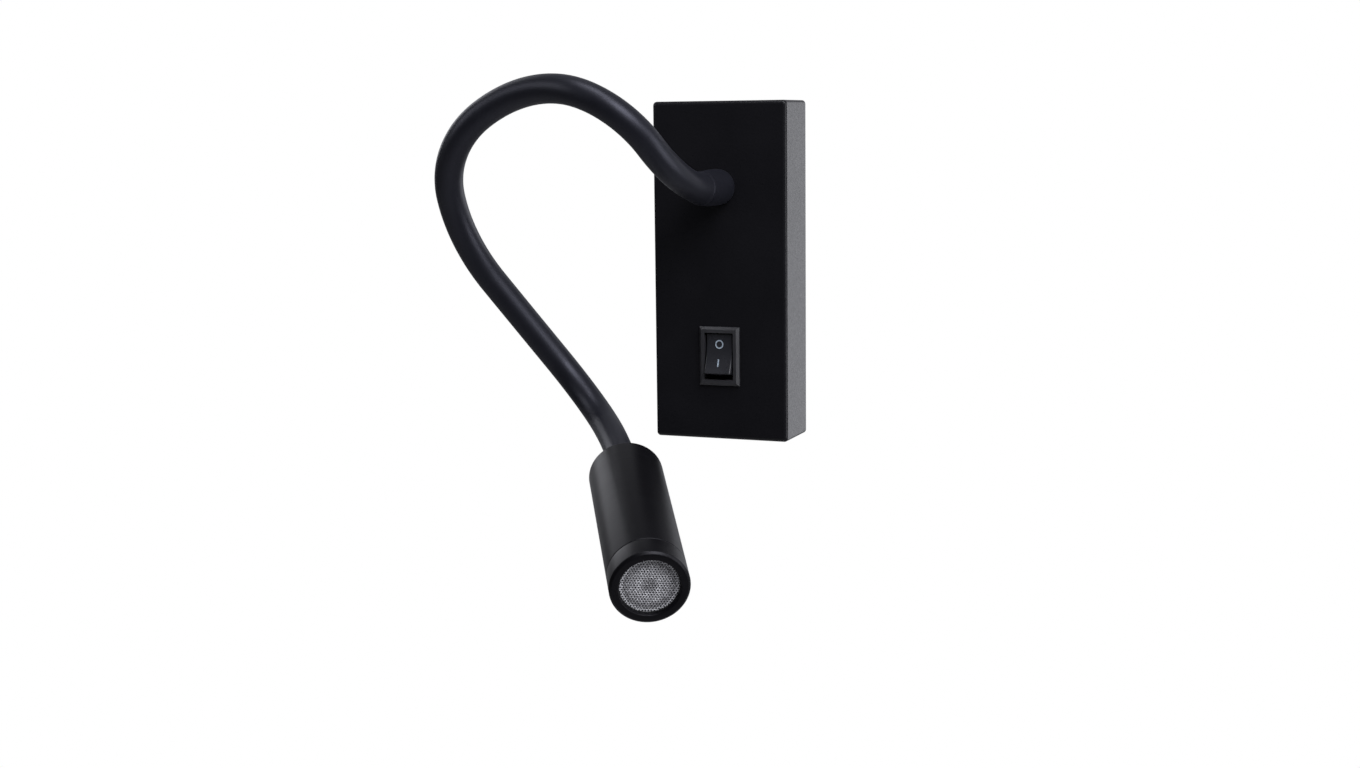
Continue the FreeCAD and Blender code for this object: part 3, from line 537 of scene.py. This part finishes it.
def clean(mesh):
    """Merge doubled vertices and turn every face outwards."""
    bm = bmesh.new()
    bm.from_mesh(mesh)
    bmesh.ops.remove_doubles(bm, verts=bm.verts, dist=1e-7)
    bmesh.ops.recalc_face_normals(bm, faces=bm.faces)
    bm.to_mesh(mesh)
    bm.free()


def piece(name, verts, faces, slot, smooth=True, place=None, material=None):
    """A new object with this slot's finish, or with another material of its own."""
    mesh = bpy.data.meshes.new(name)
    if place is not None:
        verts = [place @ Vector(v) for v in verts]
    mesh.from_pydata([tuple(v) for v in verts], [], faces)
    mesh.validate()
    clean(mesh)
    mesh.materials.append(material or MATERIALS[slot])
    made = add_object(name, mesh)
    for face in mesh.polygons:
        face.use_smooth = smooth
    return made


def sharpen(made, angle):
    """Keep edges sharper than this angle in degrees hard in smooth shading."""
    bm = bmesh.new()
    bm.from_mesh(made.data)
    for edge in bm.edges:
        if len(edge.link_faces) == 2 and edge.calc_face_angle(0.0) > math.radians(angle):
            edge.smooth = False
    bm.to_mesh(made.data)
    bm.free()


def soften(made, width, segments, angle):
    """Round edges sharper than this angle in degrees."""
    edge = made.modifiers.new("soft_edge", "BEVEL")
    edge.width = width * MM
    edge.segments = segments
    edge.limit_method = "ANGLE"
    edge.angle_limit = math.radians(angle)
    edge.harden_normals = True


def circle(radius, sides):
    """X and Y of points round a circle."""
    angles = [2 * math.pi * i / sides for i in range(sides)]
    return [(radius * math.cos(a), radius * math.sin(a)) for a in angles]


def wall_faces(rows, sides, first=0):
    """Four-sided faces between neighbouring rings of vertices."""
    faces = []
    for row in range(rows - 1):
        a = first + row * sides
        b = a + sides
        for i in range(sides):
            j = (i + 1) % sides
            faces.append((a + i, a + j, b + j, b + i))
    return faces


def lathe(profile, sides=96):
    """Vertices and faces of a profile of (radius, height) turned round Z."""
    verts = [Vector((x, y, height)) * MM
             for radius, height in profile for x, y in circle(radius, sides)]
    return verts, wall_faces(len(profile), sides)


def rounded(profile, radius, steps=4):
    """The open profile with each inner corner rounded by up to this radius."""
    points = [Vector(p) for p in profile]
    out = [profile[0]]
    for before, here, after in zip(points, points[1:], points[2:]):
        into, away = before - here, after - here
        reach = min(radius, into.length * 0.45, away.length * 0.45)
        a, b = here + into.normalized() * reach, here + away.normalized() * reach
        for k in range(steps + 1):
            t = k / steps
            out.append(tuple(a.lerp(here, t).lerp(here.lerp(b, t), t)))
    return out + [profile[-1]]


# ------------------------------------------- camera
# Its right, down and ahead in the part's axes, and the part's origin along them in millimetres
CAMERA_RIGHT = Vector((0.9294556, 0.3687558, -0.0114656))
CAMERA_DOWN = Vector((0.0408824, -0.1338317, -0.9901604))
CAMERA_AHEAD = Vector((-0.3666619, 0.9198414, -0.1394662))
CAMERA_SHIFT = (22.0550, -42.6142, 675.6320)
SENSOR_WIDTH = 36.0
FOCAL_SHARE = 1850.0 / 1360.0           # focal length over the picture's width, in pixels


def make_camera():
    data = bpy.data.cameras.new("camera")
    data.sensor_fit = "HORIZONTAL"
    data.sensor_width = SENSOR_WIDTH
    data.lens = FOCAL_SHARE * SENSOR_WIDTH
    data.clip_start, data.clip_end = 0.01, 20.0
    camera = add_object("camera", data)
    right, down, ahead = CAMERA_SHIFT
    place = -(CAMERA_RIGHT * right + CAMERA_DOWN * down + CAMERA_AHEAD * ahead) * MM
    turn = Matrix((CAMERA_RIGHT, -CAMERA_DOWN, -CAMERA_AHEAD)).transposed()
    camera.matrix_world = Matrix.Translation(place) @ turn.to_4x4()
    bpy.context.scene.camera = camera


# ------------------------------------------- the solids' own materials
def finish_nodes():
    slots = {s["node"]: s["material_slot"] for s in frame["record"]["subparts"]}
    for name, node in frame["nodes"].items():
        material = MATERIALS[slots[name]]
        if node.material_slots:
            for slot in node.material_slots:
                slot.material = material
        else:
            node.data.materials.append(material)
    soften(frame["nodes"]["switch_body"], BEZEL_EDGE, segments=3, angle=35)


# ------------------------------------------- the neck
def neck_radius(s):
    """Outside radius of the collar or the sleeve this far from the box's front."""
    for (s0, r0), (s1, r1) in zip(COLLAR_PROFILE, COLLAR_PROFILE[1:]):
        if s <= s1:
            return r0 + (r1 - r0) * max(0.0, s - s0) / (s1 - s0)
    return SLEEVE_RADIUS


def sleeve_outline(start, end, lip):
    """Stations and radii round the wall of one stretch of sleeve."""
    marks = {start, end}
    marks.update(s for s, _ in COLLAR_PROFILE if start < s < end)
    count = max(2, round((end - start) / SLEEVE_STEP))
    marks.update(start + (end - start) * i / count for i in range(1, count))
    outline = [(s, neck_radius(s)) for s in sorted(marks)]
    if lip:
        radius = SLEEVE_RADIUS - LIP_INSET
        outline += [(end, radius), (end + LIP_LENGTH, radius)]
    last = outline[-1][0]
    rows = round((last - start) / BORE_STEP)
    outline += [(last + (start - last) * i / rows, CORE_RADIUS + CORE_PLAY)
                for i in range(rows + 1)]
    return outline + outline[:1]


def core_outline(start, end):
    """Stations and radii of one stretch of the wound core: rounded turns side by side."""
    quarters = len(CORE_GROOVE)
    count = max(quarters, round((end - start) / (CORE_TURN / quarters)))
    turns = [(start + (end - start) * i / count, CORE_RADIUS - CORE_GROOVE[i % quarters])
             for i in range(count + 1)]
    return [(start, 0.0)] + turns + [(end, 0.0)]


def neck_tube(name, outline, slot, sides):
    """An outline of stations and radii, turned round the neck's middle line."""
    verts = []
    for s, radius in outline:
        place, turn = neck_at(s)
        verts += [(place + turn @ Vector((x, y, 0))) * MM for x, y in circle(radius, sides)]
    made = piece(name, verts, wall_faces(len(outline), sides), slot)
    sharpen(made, angle=45)
    return made


def make_neck():
    """One stretch of sleeve and of core over each pivot, half a bend long on each side of it,
    following the neck's bends.
    """
    final = len(NECK_BENDS) - 1
    for k in range(len(NECK_BENDS)):
        pivot = NECK_STRAIGHT + k * NECK_PITCH
        start = 0.0 if k == 0 else pivot - NECK_PITCH / 2
        end = NECK_LENGTH if k == final else pivot + NECK_PITCH / 2
        skin = neck_tube("sleeve_%d" % (k + 1), sleeve_outline(start, end, k < final),
                         "neck_sleeve", SLEEVE_SIDES)
        core = neck_tube("core_%d" % (k + 1), core_outline(max(start, CORE_START), end),
                         "neck_core", CORE_SIDES)
        for tube, node in ((skin, "neck_sleeve_%d"), (core, "neck_core_%d")):
            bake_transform(tube)
            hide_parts(node % (k + 1))
        if k == 0:
            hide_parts("base_ferrule")
        if k == final:
            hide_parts("neck_sleeve_9")
            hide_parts("neck_core_9")


# ------------------------------------------- the spot head
def make_head():
    """Bored housing, and the ring that screws on its front and holds the lens."""
    outline = [(NECK_SEAT_RADIUS, NECK_SEAT_DEPTH), (NECK_SEAT_RADIUS, 0.0),
               (HEAD_RADIUS - REAR_EDGE, 0.0), (HEAD_RADIUS, REAR_EDGE),
               (HEAD_RADIUS, SEAM - SEAM_HALF_GAP),
               (HEAD_RADIUS - SPIGOT_SHOULDER, SEAM - SEAM_HALF_GAP),
               (SPIGOT_RADIUS, SEAM + SPIGOT_LENGTH), (MAIN_BORE_RADIUS, SEAM + SPIGOT_LENGTH),
               (MAIN_BORE_RADIUS, REAR_BORE_END), (REAR_BORE_RADIUS, REAR_BORE_END),
               (REAR_BORE_RADIUS, REAR_WALL), (STUD_BORE_RADIUS, REAR_WALL),
               (STUD_BORE_RADIUS, NECK_SEAT_DEPTH)]
    verts, faces = lathe(rounded(outline + outline[:1], HOUSING_ROUND))
    body = piece("spot_housing", verts, faces, "anodised_black", place=HEAD_MATRIX)
    sharpen(body, angle=40)
    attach(body, "head")
    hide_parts("head_body")

    bore = SPIGOT_RADIUS + SPIGOT_PLAY
    step = SEAM + SPIGOT_LENGTH + SPIGOT_PLAY
    lip = HEAD_LENGTH - WINDOW_LIP
    outline = [(bore, SEAM + SEAM_HALF_GAP), (HEAD_RADIUS, SEAM + SEAM_HALF_GAP),
               (HEAD_RADIUS, HEAD_LENGTH - RING_EDGE), (HEAD_RADIUS - RING_EDGE, HEAD_LENGTH),
               (WINDOW_RADIUS + WINDOW_FLARE, HEAD_LENGTH), (WINDOW_RADIUS, lip),
               (LENS_SEAT_RADIUS, lip), (LENS_SEAT_RADIUS, step), (bore, step)]
    verts, faces = lathe(rounded(outline + outline[:1], RING_ROUND))
    ring = piece("spot_ring", verts, faces, "anodised_black", place=HEAD_MATRIX)
    sharpen(ring, angle=40)
    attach(ring, "head")
    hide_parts("front_ring")


def bead_height(x, y):
    """Height of the beaded front above the beads' feet, from the nearest bead's centre."""
    row_pitch = BEAD_PITCH * math.sqrt(3) / 2
    nearest = math.inf
    row = round(y / row_pitch)
    for r in (row - 1, row, row + 1):
        offset = 0.5 * BEAD_PITCH if r % 2 else 0.0
        cx = round((x - offset) / BEAD_PITCH) * BEAD_PITCH + offset
        nearest = min(nearest, math.hypot(x - cx, y - r * row_pitch))
    edge = BEAD_PITCH / math.sqrt(3)
    return BEAD_HEIGHT * (1 - (nearest / edge) ** 2)


def make_lens():
    """Beaded front, flange and tapered side, hollowed out over the LED."""
    feet = LENS_TOP - BEAD_HEIGHT
    verts = [(0.0, 0.0, feet + bead_height(0.0, 0.0))]
    for k in range(1, BEAD_RINGS + 1):
        verts += [(x, y, feet + bead_height(x, y))
                  for x, y in circle(BEAD_RING_STEP * k, LENS_SIDES)]
    for radius, depth in LENS_PROFILE:
        verts += [(x, y, LENS_TOP - depth) for x, y in circle(radius, LENS_SIDES)]
    verts.append((0.0, 0.0, LENS_TOP - LENS_HOLLOW_DEPTH))

    faces = wall_faces(BEAD_RINGS + len(LENS_PROFILE), LENS_SIDES, first=1)
    end = len(verts) - 1
    for i in range(LENS_SIDES):
        j = (i + 1) % LENS_SIDES
        faces.append((0, 1 + i, 1 + j))
        faces.append((end - LENS_SIDES + j, end - LENS_SIDES + i, end))
    made = piece("spot_lens", [Vector(v) * MM for v in verts], faces, "lens_clear",
                 place=HEAD_MATRIX)
    sharpen(made, angle=50)
    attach(made, "head")
    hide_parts("lens")


# ------------------------------------------- the rocker and its marks
def rocker_face(z):
    """How far the level rocker's face stands in front of its pivot at this height."""
    sag, half = ROCKER_DISH, ROCKER_HALF_HEIGHT
    radius = (half * half + sag * sag) / (2 * sag)
    return ROCKER_CROWN - sag + (radius - math.sqrt(radius * radius - z * z))


def make_rocker():
    """Dished key with softly rounded edges."""
    half = ROCKER_HALF_HEIGHT
    steps = range(-ROCKER_FACE_STEPS, ROCKER_FACE_STEPS + 1)
    profile = [(-rocker_face(z), z) for z in (half * i / ROCKER_FACE_STEPS for i in steps)]
    profile += [(-ROCKER_SKIRT, half + ROCKER_FLARE), (ROCKER_HUB, ROCKER_HUB_HALF),
                (ROCKER_HUB, -ROCKER_HUB_HALF), (-ROCKER_SKIRT, -half - ROCKER_FLARE)]
    count = len(profile)
    verts = [Vector((side * ROCKER_HALF_WIDTH, y, z)) * MM for side in (-1, 1) for y, z in profile]
    faces = [tuple(range(count)), tuple(range(2 * count - 1, count - 1, -1))]
    faces += [(i, (i + 1) % count, count + (i + 1) % count, count + i) for i in range(count)]
    made = piece("rocker_key", verts, faces, "rocker_plastic", place=ROCKER_MATRIX)
    soften(made, ROCKER_EDGE, segments=4, angle=30)
    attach(made, "rocker")
    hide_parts("rocker")


def mark(name, pairs):
    """A thin printed mark between pairs of points, each (x, height), on the rocker's face."""
    verts = [Vector((x, -rocker_face(z) + sunk, z)) * MM
             for pair in pairs for x, z in pair for sunk in (-MARK_LIFT, MARK_ROOT)]
    faces = []
    for a in range(0, 4 * (len(pairs) - 1), 4):
        b = a + 4
        faces += [(a, b, b + 2, a + 2), (a, a + 1, b + 1, b),
                  (a + 2, b + 2, b + 3, a + 3), (a + 1, a + 3, b + 3, b + 1)]
    if pairs[0] != pairs[-1]:
        end = 4 * (len(pairs) - 1)
        faces += [(0, 2, 3, 1), (end, end + 1, end + 3, end + 2)]
    made = piece(name, verts, faces, "rocker_plastic", smooth=False, place=ROCKER_MATRIX,
                 material=INK)
    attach(made, "rocker")


def make_marks():
    inner, outer = ([(x, RING_MARK_MIDDLE + z) for x, z in circle(radius, RING_MARK_SIDES)]
                    for radius in (RING_MARK_INSIDE, RING_MARK_OUTSIDE))
    ring = list(zip(inner, outer))
    mark("mark_off", ring + ring[:1])
    heights = [BAR_MARK_BOTTOM + BAR_MARK_STEP * i for i in range(BAR_MARK_STEPS + 1)]
    mark("mark_on", [((-BAR_MARK_HALF_WIDTH, z), (BAR_MARK_HALF_WIDTH, z)) for z in heights])


# ------------------------------------------- the screws that close the cover
def cross_cutter():
    """Two crossed bars, longer at the top than at the bottom, that cut a screw's recess."""
    verts, faces = [], []
    half = CROSS_WIDTH / 2
    for turned in (False, True):
        first = len(verts)
        for z, arm in ((-CROSS_DEPTH, CROSS_ARM * CROSS_TAPER), (CROSS_RISE, CROSS_ARM)):
            for x, y in ((-arm, -half), (arm, -half), (arm, half), (-arm, half)):
                verts.append(Vector((y, x, z) if turned else (x, y, z)) * MM)
        faces += [tuple(first + i for i in quad) for quad in
                  ((3, 2, 1, 0), (4, 5, 6, 7), (0, 1, 5, 4), (1, 2, 6, 5), (2, 3, 7, 6),
                   (3, 0, 4, 7))]
    mesh = bpy.data.meshes.new("recess")
    mesh.from_pydata(verts, [], faces)
    clean(mesh)
    return add_object("recess", mesh)


def make_cover_screws():
    """Countersunk screws in the top and bottom of the cover."""
    cutter = cross_cutter()
    verts, faces = lathe([(SCREW_TIP, -SCREW_LENGTH), (SCREW_RADIUS, -SCREW_LENGTH),
                          (SCREW_RADIUS, -SCREW_HEAD_HEIGHT),
                          (SCREW_HEAD_RADIUS - SCREW_SINK, -SCREW_HEAD_LAND),
                          (SCREW_HEAD_RADIUS - SCREW_HEAD_EDGE, -SCREW_SINK),
                          (SCREW_TIP, -SCREW_SINK)], SCREW_SIDES)
    tip = tuple(range(SCREW_SIDES))
    top = tuple(range(len(verts) - 1, len(verts) - 1 - SCREW_SIDES, -1))
    for name, end, cross_turn in COVER_SCREWS:
        blank = piece("blank", verts, faces + [tip, top], "black_screw")
        cut = blank.modifiers.new("recess", "BOOLEAN")
        cut.operation, cut.object, cut.solver = "DIFFERENCE", cutter, "EXACT"
        cut.use_self = True
        bpy.context.view_layer.update()
        solved = blank.evaluated_get(bpy.context.evaluated_depsgraph_get())
        mesh = bpy.data.meshes.new_from_object(solved)
        spin = Matrix.Rotation(math.radians(cross_turn), 4, "Z")
        flip = Matrix.Rotation(0.0 if end > 0 else math.pi, 4, "X")
        place = Vector((0.0, -SCREW_INSET, end * BOX_HEIGHT / 2)) * MM
        mesh.transform(Matrix.Translation(place) @ flip @ spin)
        bpy.data.objects.remove(blank)
        made = add_object(name, mesh)
        sharpen(made, angle=30)
        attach(made, "wall_box")
        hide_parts("cover_screws")
    bpy.data.objects.remove(cutter)


# ------------------------------------------- floor, background and light, in metres
FLOOR_HALF, FLOOR_HEIGHT = 3.0, -1.3
LIGHT_COLOR = (0.94, 0.95, 1.0)
AIM = (-0.02, -0.06, 0.0)
# Name, place, aim, width, height and power in watts
SOFTBOXES = (
    ("key_right", (0.69, -0.65, 0.83), AIM, 0.65, 0.75, 15.0),
    ("side_right", (1.15, -0.05, 0.05), AIM, 0.6, 0.9, 6.2),
    ("fill_left", (-1.0, -0.60, 0.50), AIM, 0.5, 0.6, 2.4),
    ("back_left", (-1.0, 0.55, 0.45), AIM, 0.5, 0.8, 2.3),
    ("top", (0.0, -0.30, 1.2), (0.0, -0.06, 0.0), 0.6, 0.4, 6.0),
    ("rim_right", (0.50, 1.00, -0.05), (0.0, 0.0, 0.02), 0.6, 0.9, 2.6),
)


def make_floor():
    """Pale floor, plain white to the camera."""
    p = Paint("floor_pale")
    seen = p.node("ShaderNodeLightPath").outputs["Is Camera Ray"]
    glow = p.node("ShaderNodeEmission")
    glow.inputs["Color"].default_value = (1.0, 1.0, 1.0, 1.0)
    blend = p.node("ShaderNodeMixShader")
    p.color(p.mix(p.noise(3.0), (0.80, 0.80, 0.81), (0.83, 0.83, 0.83)))
    p.set(Roughness=0.7)
    p.link(seen, blend.inputs[0])
    p.link(p.shader.outputs["BSDF"], blend.inputs[1])
    p.link(glow.outputs["Emission"], blend.inputs[2])
    p.link(blend.outputs["Shader"], p.out.inputs["Surface"])
    mesh = bpy.data.meshes.new("floor")
    corners = ((-1, -1), (1, -1), (1, 1), (-1, 1))
    mesh.from_pydata([(x * FLOOR_HALF, y * FLOOR_HALF, FLOOR_HEIGHT) for x, y in corners], [],
                     [(0, 1, 2, 3)])
    mesh.materials.append(p.material)
    floor = add_object("floor", mesh)


def make_world():
    """White to the camera and through clear parts, else dim in front and brighter behind."""
    world = bpy.data.worlds.new("studio")
    bpy.context.scene.world = world
    world.use_nodes = True
    nodes = NodeTree(world.node_tree)
    out = nodes.node("ShaderNodeOutputWorld")
    back = nodes.node("ShaderNodeBackground")
    path = nodes.node("ShaderNodeLightPath").outputs
    behind = nodes.split(nodes.node("ShaderNodeTexCoord").outputs["Generated"])[1]
    level = nodes.ramp(behind, 0.15, 0.85, 0.07, 0.45, interpolation_type="SMOOTHSTEP")
    direct = nodes.math("MAXIMUM", path["Is Camera Ray"], path["Is Transmission Ray"])
    tone = nodes.mix(path["Is Camera Ray"], (0.93, 0.94, 1.0), (1.0, 1.0, 1.0))
    nodes.link(tone, back.inputs["Color"])
    nodes.link(nodes.math("MAXIMUM", direct, level), back.inputs["Strength"])
    nodes.link(back.outputs["Background"], out.inputs["Surface"])


def make_softbox(name, place, aim, width, height, power):
    data = bpy.data.lights.new(name, "AREA")
    data.shape = "RECTANGLE"
    data.size, data.size_y = width, height
    data.energy = power
    data.color = LIGHT_COLOR
    light = add_object(name, data)
    light.location = place
    light.rotation_mode = "QUATERNION"
    light.rotation_quaternion = (Vector(aim) - Vector(place)).to_track_quat("-Z", "Y")


make_camera()
finish_nodes()
make_neck()
make_head()
make_lens()
make_rocker()
make_marks()
make_cover_screws()
make_floor()
make_world()
for softbox in SOFTBOXES:
    make_softbox(*softbox)

view = bpy.context.scene.view_settings
view.view_transform = "Standard"
